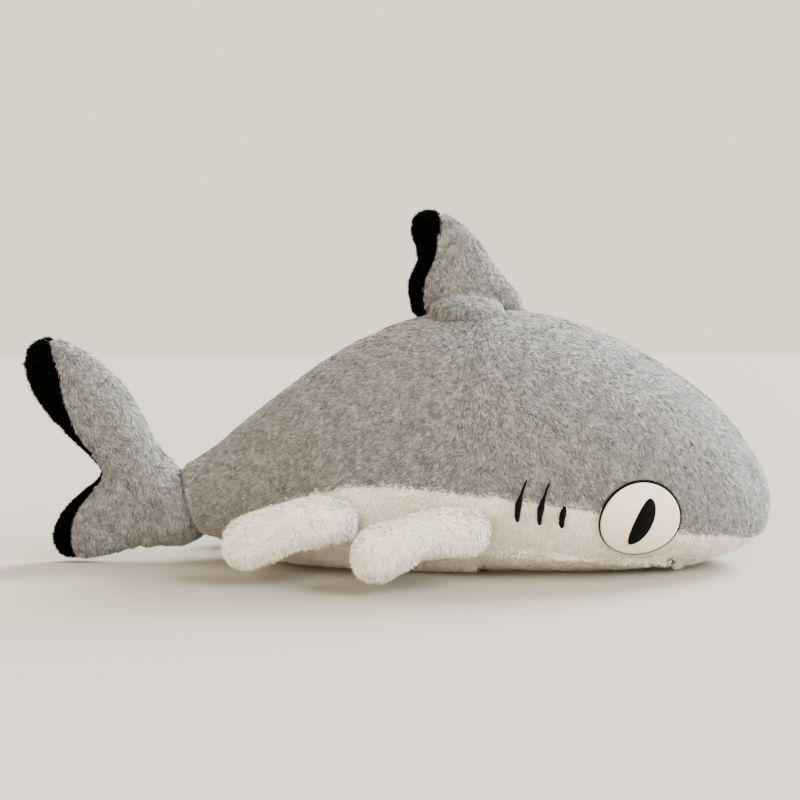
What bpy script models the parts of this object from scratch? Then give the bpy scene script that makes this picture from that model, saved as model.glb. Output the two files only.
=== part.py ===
"""A plush shark that lies on its belly: sewn pile-fabric panels over loose stuffing.

Metres. +X runs to the nose, +Y to the shark's left and +Z up; z = 0 is the surface that it lies on.
Every soft form is a loft of ribs. The fabric panels are the outer layer of such a form, cut along
its seams, and the stuffing is the same form with the fabric's thickness taken off.
"""

import math

import bmesh
import bpy
import numpy as np
from mathutils import Vector
from mathutils.bvhtree import BVHTree

# Driving dimensions
FABRIC = 0.003  # a pile fabric, as thick as it is where it is sewn and stuffed
CLEARANCE = 0.0007  # between two layers that touch
SEAM_PULL = 0.0003  # each panel stops this far short of its seam
LAID_ON = 0.0012  # gap under a piece sewn onto the body, whose cloth is rounder than its facets
JAW_DEPTH = 0.011  # the lower jaw's stuffed thickness
LINING = 0.0012  # the thin cloth inside the mouth
EYE_RADIUS = 0.0330
EYE_THICKNESS = 0.002
EYE_OUTLINE = 0.0012  # width of the stitched line around the eye
PUPIL_LENGTH = 0.040
PUPIL_WIDTH = 0.0145
PUPIL_LEAN = math.radians(-25)  # its top leans to the nose
PUPIL_THICKNESS = 0.0008
PUPIL_FRONT_SHARE = 0.62  # how much of its width lies in front of the straight line through its ends
ROUND_STEPS, PUPIL_STEPS = 40, 24
GILL_LENGTH = 0.034
GILL_RADIUS = 0.0015
GILL_SPACING = 0.0175
GILL_DROP = 0.0025  # each gill stands this much lower than the one behind it
GILL_LEAN, GILL_BOW = 0.0035, 0.0020  # how far its ends lie in front of its middle: odd and even share
GILL_STEPS = 9
GILL_COUNT = 3
EYE_AT = (0.1925, 0.0515)  # x and z of the eye's middle on the side of the head
FIRST_GILL_AT = (0.0965, 0.0690)  # x and z of the rearmost gill's middle

# Hinge lines, which the moving pieces' empties stand on
JAW_HINGE = (0.0705, 0.0, 0.0005)
DORSAL_HINGE = (0.0660, 0.0, 0.2265)
TAIL_HINGE = (-0.1910, 0.0, 0.0580)
PECTORAL_HINGE = (0.0660, 0.1085, 0.0430)
PELVIC_HINGE = (-0.0345, 0.0940, 0.0500)

GREY = (0.36, 0.36, 0.37, 1.0)
WHITE = (0.78, 0.74, 0.68, 1.0)
BLACK = (0.012, 0.012, 0.013, 1.0)
EYE_WHITE = (0.82, 0.79, 0.74, 1.0)
FILLING = (0.85, 0.85, 0.83, 1.0)

# The body's ribs from the tail seam to the nose: x and z of the belly line, x and z of the back
# line, half width, height of the widest place as a share of the rib, angle of the grey edge.
BODY_RIBS = (
    (-0.169, 0.0250, -0.186, 0.0850, 0.0240, 0.50, -40),
    (-0.145, 0.0190, -0.160, 0.1020, 0.0350, 0.48, -36),
    (-0.104, 0.0040, -0.129, 0.1275, 0.0530, 0.46, -8),
    (-0.068, 0.0000, -0.086, 0.1605, 0.0720, 0.45, -1),
    (-0.028, -0.0030, -0.040, 0.1915, 0.0880, 0.45, -2),
    (0.022, -0.0040, 0.018, 0.2155, 0.1000, 0.45, -6),
    (0.076, -0.0040, 0.074, 0.2230, 0.1060, 0.45, -10),
    (0.134, -0.0040, 0.138, 0.2155, 0.1070, 0.45, -13),
    (0.184, -0.0030, 0.194, 0.1950, 0.1030, 0.45, -16),
    (0.228, -0.0005, 0.239, 0.1690, 0.0930, 0.44, -21),
    (0.264, 0.0060, 0.276, 0.1410, 0.0765, 0.43, -23),
    (0.296, 0.0150, 0.306, 0.1030, 0.0500, 0.42, -28),
    (0.3165, 0.0275, 0.3220, 0.0735, 0.0260, 0.42, -38),
    (0.3240, 0.0470, 0.3240, 0.0470, 0.0, 0.42, -38),
)
BELLY_FULLNESS = 2.5  # above 2 a section is squarer than an ellipse
BELLY_START = 1.5  # rib at which the white belly panel begins
JAW_START, JAW_END = 5.9, 9.0  # ribs at the rear and the front of the lower jaw
JAW_SHORT = 0.1  # share of a rib by which the jaw's filling and lining stop short, to clear the lip
# Ribs, and the angles at which the line that ends in the jaw's crease runs past them
CREASE_RIBS, CREASE_ANGLES = (1.5, JAW_START, JAW_END), (-62, -42, -54)

# The dorsal fin's ribs from its base to its tip: x and z of the trailing edge, x and z of the
# leading edge, half thickness, width of the black edge.
DORSAL_RIBS = (
    (0.0240, 0.2250, 0.1100, 0.2260, 0.0045, 0.012),
    (0.0110, 0.2355, 0.1055, 0.2355, 0.0190, 0.013),
    (0.0110, 0.2495, 0.0945, 0.2490, 0.0180, 0.015),
    (0.0180, 0.2625, 0.0850, 0.2620, 0.0160, 0.015),
    (0.0170, 0.2760, 0.0750, 0.2765, 0.0145, 0.018),
    (0.0120, 0.2900, 0.0635, 0.2900, 0.0125, 0.022),
    (0.0150, 0.3020, 0.0485, 0.3010, 0.0095, 0.022),
    (0.0290, 0.3090, 0.0290, 0.3090, 0.0, 0.022),
)

# The tail fin's ribs from the upper tip to the lower one, in the same order.
TAIL_RIBS = (
    (-0.3060, 0.1985, -0.3060, 0.1985, 0.0, 0.022),
    (-0.3220, 0.1860, -0.2840, 0.1920, 0.0100, 0.026),
    (-0.3230, 0.1650, -0.2560, 0.1750, 0.0130, 0.028),
    (-0.3110, 0.1385, -0.2330, 0.1510, 0.0150, 0.024),
    (-0.2910, 0.1160, -0.2155, 0.1200, 0.0170, 0.014),
    (-0.2690, 0.0950, -0.1990, 0.0900, 0.0190, 0.007),
    (-0.2570, 0.0800, -0.1870, 0.0690, 0.0210, 0.003),
    (-0.2680, 0.0680, -0.1815, 0.0490, 0.0210, 0.007),
    (-0.2850, 0.0540, -0.1830, 0.0300, 0.0190, 0.012),
    (-0.2965, 0.0390, -0.2060, 0.0195, 0.0160, 0.015),
    (-0.3010, 0.0235, -0.2340, 0.0110, 0.0130, 0.016),
    (-0.2965, 0.0095, -0.2640, 0.0050, 0.0090, 0.015),
    (-0.2830, 0.0030, -0.2830, 0.0030, 0.0, 0.014),
)
TAIL_NOTCH = 6  # rib at the notch between the two lobes
FIN_FULLNESS = 2.5

# The paired fins' ribs from root to tip: the middle's x, y and z, half height, half thickness.
PECTORAL_RIBS = (
    (0.0670, 0.1080, 0.0430, 0.0120, 0.0090),
    (0.0570, 0.1130, 0.0440, 0.0190, 0.0145),
    (0.0380, 0.1190, 0.0455, 0.0200, 0.0155),
    (0.0170, 0.1240, 0.0430, 0.0190, 0.0155),
    (-0.0010, 0.1270, 0.0355, 0.0215, 0.0175),
    (-0.0180, 0.1290, 0.0290, 0.0220, 0.0180),
    (-0.0300, 0.1295, 0.0265, 0.0140, 0.0125),
    (-0.0345, 0.1295, 0.0255, 0.0, 0.0),
)
PELVIC_RIBS = (
    (-0.0340, 0.0935, 0.0500, 0.0120, 0.0085),
    (-0.0440, 0.0965, 0.0505, 0.0180, 0.0130),
    (-0.0620, 0.0985, 0.0505, 0.0215, 0.0155),
    (-0.0820, 0.0980, 0.0465, 0.0210, 0.0165),
    (-0.1020, 0.0960, 0.0390, 0.0220, 0.0180),
    (-0.1200, 0.0940, 0.0315, 0.0220, 0.0180),
    (-0.1320, 0.0930, 0.0280, 0.0140, 0.0125),
    (-0.1370, 0.0925, 0.0270, 0.0, 0.0),
)

TIP_MARGIN = 0.12  # the last ring stands this share of a rib short of a closed tip


def spline(values, place):
    """The smooth curve through rows of values, whose first and last rows only steer its ends."""
    values = np.asarray(values)
    first = min(int(place), len(values) - 4)
    share = place - first
    before, start, end, after = values[first : first + 4]
    slope_in, slope_out = (end - before) / 2, (after - start) / 2
    rise = end - start
    return (
        start
        + slope_in * share
        + (3 * rise - 2 * slope_in - slope_out) * share**2
        + (slope_in + slope_out - 2 * rise) * share**3
    )


class Form:
    """A soft form: rib after rib, each from a low point to a high point and bulging to both sides."""

    def __init__(self, low, high, side, waist, fullness, floor=None, inset=0.0):
        self.low, self.high, self.side = (np.array(v, float) for v in (low, high, side))
        self.waist = np.array(waist, float)
        self.fullness = fullness
        self.floor = floor
        self.depth = inset

    def closed_at(self, row):
        return np.linalg.norm(self.side[row]) < 1e-9

    def at(self, depth):
        """The same form with this thickness taken off all round."""
        low, high, side = self.low.copy(), self.high.copy(), self.side.copy()
        for row in range(len(low)):
            if self.closed_at(row):
                inner = 1 if row == 0 else row - 1
                middle = (self.low[inner] + self.high[inner]) / 2
                back = middle - self.low[row]
                moved = self.low[row] + depth * back / np.linalg.norm(back)
                low[row], high[row] = moved, moved
                continue
            rise = self.high[row] - self.low[row]
            rise /= np.linalg.norm(rise)
            low[row] += depth * rise
            high[row] -= depth * rise
            side[row] *= 1 - depth / np.linalg.norm(side[row])
        return Form(low, high, side, self.waist, self.fullness, self.floor, depth)

    def steered(self, values, swapped, sign):
        """The rows with one more at each end: a closed tip turns over, an open end runs straight on."""
        rows = [values[0] * 2 - values[1], *values, values[-1] * 2 - values[-2]]
        if self.closed_at(0):
            rows[0] = sign * swapped[1]
        if self.closed_at(-1):
            rows[-1] = sign * swapped[-2]
        return rows

    def rib(self, place):
        low = spline(self.steered(self.low, self.high, 1), place)
        high = spline(self.steered(self.high, self.low, 1), place)
        side = spline(self.steered(self.side, self.side, -1), place)
        waist = float(np.interp(place, range(len(self.waist)), self.waist))
        return low, high, side, waist

    def point(self, place, angle):
        """The surface at a rib and an angle: 90 degrees is the high line and 0 the positive side."""
        low, high, side, waist = self.rib(place)
        middle = low + waist * (high - low)
        up, out = math.sin(angle), math.cos(angle)
        reach = high if up > 0 else low
        power = 2 / (2.0 if up > 0 and self.floor is not None else self.fullness)
        point = middle + (reach - middle) * abs(up) ** power + side * math.copysign(abs(out) ** power, out)
        if self.floor is not None:
            point[2] = max(point[2], self.floor + self.depth)
        return point


def stations(form, start=None, end=None, step=0.5):
    """Places along a form, short of its closed tips."""
    last = len(form.low) - 1
    start = (TIP_MARGIN if form.closed_at(0) else 0.0) if start is None else start
    end = last - (TIP_MARGIN if form.closed_at(-1) else 0.0) if end is None else end
    count = max(1, round((end - start) / step))
    return [start + (end - start) * i / count for i in range(count + 1)]


def layer(form, places, ring, depth):
    """One row of points for each place. depth is one inset, or a rule that gives it for row and column."""
    forms = {}
    rows = []
    for i, place in enumerate(places):
        row = []
        for j, angle in enumerate(ring(place)):
            inset = depth(i, j) if callable(depth) else depth
            if inset not in forms:
                forms[inset] = form.at(inset)
            row.append(forms[inset].point(place, angle))
        rows.append(row)
    return np.array(rows)


def pulled(points, cells):
    """The points with those on the cells' border moved a little inwards, which opens the seam."""
    wide = points.shape[1]
    centres, uses = {}, {}
    for i, j in cells:
        corners = [(i, j), (i, (j + 1) % wide), (i + 1, (j + 1) % wide), (i + 1, j)]
        middle = sum(points[c] for c in corners) / 4
        for corner, following in zip(corners, corners[1:] + corners[:1], strict=True):
            centres.setdefault(corner, []).append(middle)
            edge = frozenset((corner, following))
            uses[edge] = uses.get(edge, 0) + 1
    border = {corner for edge, count in uses.items() if count == 1 for corner in edge}
    result = points.copy()
    for corner in border:
        inwards = np.mean(centres[corner], axis=0) - points[corner]
        result[corner] += SEAM_PULL * inwards / np.linalg.norm(inwards)
    return result


def mesh_object(name, points, faces, material):
    mesh = bpy.data.meshes.new(name)
    mesh.from_pydata([tuple(p) for p in points], [], faces)
    shape = bmesh.new()
    shape.from_mesh(mesh)
    bmesh.ops.recalc_face_normals(shape, faces=shape.faces)
    shape.to_mesh(mesh)
    shape.free()
    mesh.materials.append(material)
    mesh.shade_smooth()
    mesh.set_sharp_from_angle(angle=math.radians(50))
    shown = bpy.data.objects.new(name, mesh)
    collection.objects.link(shown)
    return shown


def panel(name, form, places, ring, keep, material, outside=0.0, inside=FABRIC):
    """A piece of cloth: the kept cells of a form's surface, with the cloth's thickness."""
    wide = len(ring(places[0]))
    cells = [(i, j) for i in range(len(places) - 1) for j in range(wide) if keep(i, j)]
    top = pulled(layer(form, places, ring, outside), cells)
    under = pulled(layer(form, places, ring, inside), cells)
    index, points, faces, edges = {}, [], [], {}

    def corner(row, column, deep):
        key = (row, column % wide, deep)
        if key not in index:
            index[key] = len(points)
            points.append((under if deep else top)[row, column % wide])
        return index[key]

    for i, j in cells:
        around = [(i, j), (i, j + 1), (i + 1, j + 1), (i + 1, j)]
        faces.append([corner(*c, False) for c in around])
        faces.append([corner(*c, True) for c in reversed(around)])
        for one, other in zip(around, around[1:] + around[:1], strict=True):
            edge = frozenset((corner(*one, False), corner(*other, False)))
            edges.setdefault(edge, []).append((one, other))
    for sides in edges.values():
        if len(sides) == 1:
            one, other = sides[0]
            rim = [(*other, False), (*one, False), (*one, True), (*other, True)]
            faces.append([corner(*c) for c in rim])
    return mesh_object(name, points, faces, material)


def stuffing(name, form, places, ring, depth=FABRIC + CLEARANCE):
    """The filling inside a form, closed at both ends."""
    rows = layer(form, places, ring, depth)
    count, wide = rows.shape[:2]
    faces = [list(range(wide)), [(count - 1) * wide + j for j in reversed(range(wide))]]
    for start in range(0, (count - 1) * wide, wide):
        for j in range(wide):
            following = (j + 1) % wide
            near, far = start + wide + j, start + wide + following
            faces.append([start + following, start + j, near, far])
    return mesh_object(name, rows.reshape(-1, 3), faces, filling)


def plain_material(name, colour, roughness):
    material = bpy.data.materials.new(name)
    material.use_nodes = True
    surface = material.node_tree.nodes["Principled BSDF"]
    surface.inputs["Base Color"].default_value = colour
    surface.inputs["Roughness"].default_value = roughness
    surface.inputs["Metallic"].default_value = 0.0
    material.diffuse_color = colour
    return material


def hinge(name, place, pieces):
    """An empty on a moving body's hinge, and that body's pieces under it."""
    empty = bpy.data.objects.new(name, None)
    empty.location = place
    empty.empty_display_size = 0.02
    collection.objects.link(empty)
    for piece in pieces:
        piece.parent = empty
        piece.matrix_parent_inverse.translation = -Vector(place)
    return empty


def mid_plane_form(ribs, **more):
    """A form whose ribs lie in the shark's middle plane and bulge along Y."""
    low = [(r[0], 0, r[1]) for r in ribs]
    high = [(r[2], 0, r[3]) for r in ribs]
    side = [(0, r[4], 0) for r in ribs]
    return Form(low, high, side, **more)


BACK_CELLS, CHEEK_CELLS, JAW_CELLS = 7, 3, 4
BODY_RING = 2 * (BACK_CELLS + CHEEK_CELLS + JAW_CELLS)


def body_ring(place):
    """Angles round the body: down the left side from the back's middle, and up the right side."""
    edge = math.radians(float(np.interp(place, range(len(BODY_RIBS)), [r[6] for r in BODY_RIBS])))
    crease = math.radians(float(np.interp(place, CREASE_RIBS, CREASE_ANGLES)))
    top, bottom = math.pi / 2, -math.pi / 2
    left = [
        *np.linspace(top, edge, BACK_CELLS + 1)[:-1],
        *np.linspace(edge, crease, CHEEK_CELLS + 1)[:-1],
        *np.linspace(crease, bottom, JAW_CELLS + 1),
    ]
    right = [math.pi - angle for angle in reversed(left[1:-1])]
    return left + right


def body():
    form = mid_plane_form(
        BODY_RIBS, waist=[r[5] for r in BODY_RIBS], fullness=BELLY_FULLNESS, floor=0.0
    )
    rear = stations(form, 0.0, BELLY_START)
    middle = stations(form, BELLY_START, JAW_START, 0.6)
    mouth = stations(form, JAW_START, JAW_END, 0.55)
    front = stations(form, JAW_END)
    places = rear + middle[1:] + mouth[1:] + front[1:]
    belly_row = len(rear) - 1
    jaw_first = belly_row + len(middle) - 1
    jaw_last = jaw_first + len(mouth) - 1
    half = BODY_RING // 2
    jaw_from, jaw_to = half - JAW_CELLS, half + JAW_CELLS

    def in_belly(i, j):
        return i >= belly_row and BACK_CELLS <= j < BODY_RING - BACK_CELLS

    def in_jaw(i, j):
        return jaw_first <= i < jaw_last and jaw_from <= j < jaw_to

    def filling_depth(i, j):
        if jaw_first <= i <= jaw_last and jaw_from <= j <= jaw_to:
            return JAW_DEPTH + 2 * LINING + 3 * CLEARANCE
        return FABRIC + (2 if i > jaw_last else 1) * CLEARANCE

    def on_left_back(i, j):
        return j < half and not in_belly(i, j)

    def on_right_back(i, j):
        return j >= half and not in_belly(i, j)

    def on_belly(i, j):
        return in_belly(i, j) and not in_jaw(i, j)

    panel("back_panel_left", form, places, body_ring, on_left_back, grey)
    panel("back_panel_right", form, places, body_ring, on_right_back, grey)
    panel("belly_panel", form, places, body_ring, on_belly, white)
    stuffing("body_stuffing", form, places[:-1], body_ring, filling_depth)
    cover = JAW_DEPTH + CLEARANCE
    roof = cover + LINING + CLEARANCE
    panel("mouth_lining", form, places, body_ring, in_jaw, white, roof, roof + LINING)
    shorter = places[:jaw_last] + [JAW_END - JAW_SHORT] + places[jaw_last + 1 :]
    jaw = [
        panel("jaw_panel", form, places, body_ring, in_jaw, white),
        panel("jaw_stuffing", form, shorter, body_ring, in_jaw, filling, FABRIC + CLEARANCE, JAW_DEPTH),
        panel("jaw_lining", form, shorter, body_ring, in_jaw, white, cover, cover + LINING),
    ]
    hinge("jaw_hinge", JAW_HINGE, jaw)
    rows = layer(form, places, body_ring, 0.0)
    return surface_tree(rows)


def surface_tree(rows):
    """The body's outer surface, for pieces that lie on it."""
    count, wide = rows.shape[:2]
    faces = [
        (i * wide + j, i * wide + (j + 1) % wide, (i + 1) * wide + (j + 1) % wide, (i + 1) * wide + j)
        for i in range(count - 1)
        for j in range(wide)
    ]
    return BVHTree.FromPolygons([Vector(p) for p in rows.reshape(-1, 3)], faces)


def side_frame(surface, x, z, side):
    """A point on the body's side and the axes of the cloth there: along, up and out."""
    point, normal, _, _ = surface.ray_cast(Vector((x, side, z)), Vector((0, -side, 0)))
    out = normal if normal.y * side > 0 else -normal
    along = Vector((out.y, -out.x, 0)).normalized() * side
    up = out.cross(along) if side < 0 else along.cross(out)
    return point, along, -up if up.z < 0 else up, out


def draped(surface, frame, across, upwards, lift):
    """A point of a flat drawing laid on the body's side, lift above it."""
    middle, along, up, out = frame
    start = middle + along * across + up * upwards + out * 0.05
    point, _, _, _ = surface.ray_cast(start, -out)
    return point + out * lift


def applique(name, surface, frame, outline, rings, bottom, top, material):
    """A piece of cloth or stitching with this outline, which follows the body's side."""
    wide = len(outline)
    middle = np.mean(outline, axis=0)
    shares = np.linspace(0, 1, rings + 1)[1:]
    points, faces = [], []
    for lift in (bottom, top):
        first = len(points)
        points.append(draped(surface, frame, *middle, lift))
        for share in shares:
            points += [draped(surface, frame, *(middle + share * (p - middle)), lift) for p in outline]
        for j in range(wide):
            following = (j + 1) % wide
            faces.append([first, first + 1 + j, first + 1 + following])
            for ring in range(rings - 1):
                near, far = first + 1 + ring * wide, first + 1 + (ring + 1) * wide
                faces.append([near + j, far + j, far + following, near + following])
    lower, upper = 1 + (rings - 1) * wide, len(points) // 2 + 1 + (rings - 1) * wide
    for j in range(wide):
        following = (j + 1) % wide
        faces.append([lower + j, lower + following, upper + following, upper + j])
    return mesh_object(name, points, faces, material)


def outline_ring(name, surface, frame, inner, outer, bottom, top, material):
    """A narrow ring of stitching between two radii."""
    count = ROUND_STEPS
    points, faces = [], []
    for radius, lift in ((inner, bottom), (outer, bottom), (outer, top), (inner, top)):
        for j in range(count):
            angle = 2 * math.pi * j / count
            points.append(draped(surface, frame, radius * math.cos(angle), radius * math.sin(angle), lift))
    for loop in range(4):
        following_loop = (loop + 1) % 4
        for j in range(count):
            following = (j + 1) % count
            faces.append(
                [
                    loop * count + j,
                    loop * count + following,
                    following_loop * count + following,
                    following_loop * count + j,
                ]
            )
    return mesh_object(name, points, faces, material)


def pupil_outline(to_nose):
    """A leaning half-moon: nearly straight at the back and round at the front."""
    points = []
    for j in range(PUPIL_STEPS):
        angle = 2 * math.pi * j / PUPIL_STEPS
        bulge = PUPIL_FRONT_SHARE if math.cos(angle) > 0 else 1 - PUPIL_FRONT_SHARE
        across = math.cos(angle) * PUPIL_WIDTH * bulge
        upwards = math.sin(angle) * PUPIL_LENGTH / 2
        leaned = across * math.cos(PUPIL_LEAN) - upwards * math.sin(PUPIL_LEAN)
        risen = across * math.sin(PUPIL_LEAN) + upwards * math.cos(PUPIL_LEAN)
        points.append(np.array((to_nose * leaned, risen)))
    return points


def eye(surface, word, side):
    frame = side_frame(surface, *EYE_AT, side)
    to_nose = math.copysign(1, frame[1].x)
    turns = [2 * math.pi * j / ROUND_STEPS for j in range(ROUND_STEPS)]
    circle = [EYE_RADIUS * np.array((math.cos(turn), math.sin(turn))) for turn in turns]
    top = LAID_ON + EYE_THICKNESS
    applique(f"eye_{word}", surface, frame, circle, 4, LAID_ON, top, eye_white)
    inner = EYE_RADIUS + CLEARANCE
    outline_ring(
        f"eye_outline_{word}", surface, frame, inner, inner + EYE_OUTLINE, LAID_ON, top + CLEARANCE, black
    )
    low = top + CLEARANCE
    applique(
        f"pupil_{word}", surface, frame, pupil_outline(to_nose), 2, low, low + PUPIL_THICKNESS, black
    )


def gill(surface, word, side, number):
    """One stitched line: it runs down from the grey cloth and curves a little backwards."""
    x, z = FIRST_GILL_AT
    frame = side_frame(surface, x + (number - 1) * GILL_SPACING, z - (number - 1) * GILL_DROP, side)
    to_nose = math.copysign(1, frame[1].x)
    curve = bpy.data.curves.new(f"gill_{word}_{number}", "CURVE")
    curve.dimensions = "3D"
    curve.bevel_depth = GILL_RADIUS
    curve.bevel_resolution = 1
    curve.use_fill_caps = True
    line = curve.splines.new("POLY")
    line.points.add(GILL_STEPS - 1)
    for k in range(GILL_STEPS):
        share = 2 * k / (GILL_STEPS - 1) - 1
        ahead = GILL_LEAN * share + GILL_BOW * share**2
        lift = GILL_RADIUS + LAID_ON
        point = draped(surface, frame, to_nose * ahead, share * GILL_LENGTH / 2, lift)
        line.points[k].co = (*point, 1)
    curve.materials.append(black)
    shown = bpy.data.objects.new(curve.name, curve)
    collection.objects.link(shown)


EDGE_CELLS, FACE_CELLS = 2, 5
FIN_RING = 2 * (EDGE_CELLS + FACE_CELLS)


def fin_ring(form, edge_widths):
    """Angles round a fin, from the middle of its trailing edge over the left face and back."""

    def ring(place):
        low, high, _, _ = form.rib(place)
        width = float(np.interp(place, range(len(edge_widths)), edge_widths))
        half = max(np.linalg.norm(high - low) / 2, 1e-6)
        share = max(1 - width / half, 0.15)
        edge = -math.asin(share ** (FIN_FULLNESS / 2))
        top, bottom = math.pi / 2, -math.pi / 2
        left = [
            *np.linspace(bottom, edge, EDGE_CELLS + 1)[:-1],
            *np.linspace(edge, top, FACE_CELLS + 1),
        ]
        return left + [math.pi - angle for angle in reversed(left[1:-1])]

    return ring


def in_edge(j):
    return j < EDGE_CELLS or j >= FIN_RING - EDGE_CELLS


def fin_form(ribs):
    return mid_plane_form(ribs, waist=[0.5] * len(ribs), fullness=FIN_FULLNESS)


def dorsal_fin():
    form = fin_form(DORSAL_RIBS)
    ring = fin_ring(form, [r[5] for r in DORSAL_RIBS])
    places = stations(form)
    half = FIN_RING // 2
    pieces = [
        panel("dorsal_panel_left", form, places, ring, lambda i, j: j < half and not in_edge(j), grey),
        panel("dorsal_panel_right", form, places, ring, lambda i, j: j >= half and not in_edge(j), grey),
        panel("dorsal_edge", form, places, ring, lambda i, j: in_edge(j), black),
        stuffing("dorsal_stuffing", form, places[1:-1], ring),
    ]
    hinge("dorsal_hinge", DORSAL_HINGE, pieces)


def tail_fin():
    form = fin_form(TAIL_RIBS)
    ring = fin_ring(form, [r[5] for r in TAIL_RIBS])
    upper = stations(form, None, TAIL_NOTCH)
    lower = stations(form, TAIL_NOTCH, None)
    places = upper + lower[1:]
    notch = len(upper) - 1
    half = FIN_RING // 2
    pieces = [
        panel("tail_panel_left", form, places, ring, lambda i, j: j < half and not in_edge(j), grey),
        panel("tail_panel_right", form, places, ring, lambda i, j: j >= half and not in_edge(j), grey),
        panel("tail_edge_upper", form, places, ring, lambda i, j: in_edge(j) and i < notch, black),
        panel("tail_edge_lower", form, places, ring, lambda i, j: in_edge(j) and i >= notch, black),
        stuffing("tail_stuffing", form, places[1:-1], ring),
    ]
    hinge("tail_hinge", TAIL_HINGE, pieces)


PAIRED_CELLS = 5


def paired_ring(_place):
    """Angles round a paired fin: the outer face, then the inner one."""
    return list(np.linspace(math.pi / 2, -3 * math.pi / 2, 2 * PAIRED_CELLS + 1)[:-1])


def paired_form(ribs, side):
    """A fin whose ribs stand square to the line through their middles."""
    middles = np.array([(r[0], side * r[1], r[2]) for r in ribs])
    directions = np.gradient(middles, axis=0)
    low, high, bulge = [], [], []
    for middle, direction, (_, _, _, height, thickness) in zip(middles, directions, ribs, strict=True):
        outwards = np.cross(direction, (0, 0, 1))
        outwards *= math.copysign(1, outwards[1] * side) / np.linalg.norm(outwards)
        up = np.cross(direction, outwards)
        up *= math.copysign(1, up[2]) / np.linalg.norm(up)
        low.append(middle - height * up)
        high.append(middle + height * up)
        bulge.append(thickness * outwards)
    return Form(low, high, bulge, [0.5] * len(ribs), 2.2)


def paired_fin(kind, ribs, place, word, side):
    form = paired_form(ribs, side)
    places = stations(form)
    pieces = [
        panel(f"{kind}_outer_{word}", form, places, paired_ring, lambda i, j: j < PAIRED_CELLS, white),
        panel(f"{kind}_inner_{word}", form, places, paired_ring, lambda i, j: j >= PAIRED_CELLS, white),
        stuffing(f"{kind}_stuffing_{word}", form, places[:-1], paired_ring),
    ]
    hinge(f"{kind}_hinge_{word}", (place[0], side * place[1], place[2]), pieces)


for old in list(bpy.data.objects):
    bpy.data.objects.remove(old)
collection = bpy.data.collections.new("plush_shark")
bpy.context.scene.collection.children.link(collection)
grey = plain_material("grey_plush", GREY, 0.95)
white = plain_material("white_plush", WHITE, 0.95)
black = plain_material("black_cloth", BLACK, 0.9)
eye_white = plain_material("eye_cloth", EYE_WHITE, 0.7)
filling = plain_material("filling", FILLING, 1.0)

body_surface = body()
dorsal_fin()
tail_fin()
for word, side in (("left", 1), ("right", -1)):
    eye(body_surface, word, side)
    for number in range(1, GILL_COUNT + 1):
        gill(body_surface, word, side, number)
    paired_fin("pectoral", PECTORAL_RIBS, PECTORAL_HINGE, word, side)
    paired_fin("pelvic", PELVIC_RIBS, PELVIC_HINGE, word, side)
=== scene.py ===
"""The looks of a plush shark: sewn pile fabric, embroidered gills and eyes, and stuffed fins.

Metres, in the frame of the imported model: +X runs to the nose, +Y to the shark's left and +Z up.
Each stuffed form is remeshed from its CAD solids and swells between its seams in a cloth simulation.
Its cloth lies a pile's height inside the CAD surface. The pile is real strands that grow back to it.
"""

import math

import bmesh
import bpy
import numpy as np
from mathutils import Matrix, Vector
from mathutils.bvhtree import BVHTree
from mathutils.kdtree import KDTree


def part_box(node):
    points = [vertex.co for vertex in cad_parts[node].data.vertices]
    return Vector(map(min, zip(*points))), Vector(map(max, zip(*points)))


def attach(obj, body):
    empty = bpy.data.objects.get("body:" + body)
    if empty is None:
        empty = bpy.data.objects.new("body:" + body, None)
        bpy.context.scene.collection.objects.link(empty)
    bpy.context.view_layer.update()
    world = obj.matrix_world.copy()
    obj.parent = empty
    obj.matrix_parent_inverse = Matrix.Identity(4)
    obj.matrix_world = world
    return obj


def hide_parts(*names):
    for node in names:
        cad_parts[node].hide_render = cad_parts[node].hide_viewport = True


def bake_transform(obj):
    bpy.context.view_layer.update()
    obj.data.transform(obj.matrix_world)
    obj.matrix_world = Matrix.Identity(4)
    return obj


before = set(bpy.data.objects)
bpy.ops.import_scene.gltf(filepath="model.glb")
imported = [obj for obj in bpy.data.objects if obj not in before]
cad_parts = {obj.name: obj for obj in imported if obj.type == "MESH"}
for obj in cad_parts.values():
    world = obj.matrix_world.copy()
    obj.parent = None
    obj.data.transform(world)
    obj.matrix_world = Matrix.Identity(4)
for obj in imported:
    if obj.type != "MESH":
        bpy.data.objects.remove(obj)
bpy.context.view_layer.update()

# The camera looks at the shark's right side from a little below the top of its back
CAMERA_AT = (0.0018, -0.95, 0.186)
CAMERA_PITCH = math.radians(2.63)
CAMERA_LENS = 49.0
CAMERA_SHIFT = 0.0025

VOXEL = 0.004  # of the body's remesh
FINE_VOXEL = 0.003  # of the jaw's and the fins' remesh
FLOOR_GAP = 0.0004  # the lowest that a pressed strand lies
CLOTH_GAP = 0.002  # the lowest that cloth lies

GREY_NODES = ("back_panel_left", "back_panel_right")
WHITE_NODES = ("belly_panel",)
SIDES = (("left", 1), ("right", -1))


class Pile:
    """How a pile grows: strands a square metre, their sizes, their angles and how they vary."""

    def __init__(self, colour, density, length, rise, bend, stray, width, mottle, pull):
        self.colour, self.density, self.length = colour, density, length
        self.rise, self.bend = math.radians(rise), math.radians(bend)
        self.stray, self.width, self.mottle, self.pull = stray, width, mottle, pull

    def standing(self):
        """How far the pile stands over its cloth."""
        return self.length / 2 * (math.sin(self.rise) + math.sin(self.bend))


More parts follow.
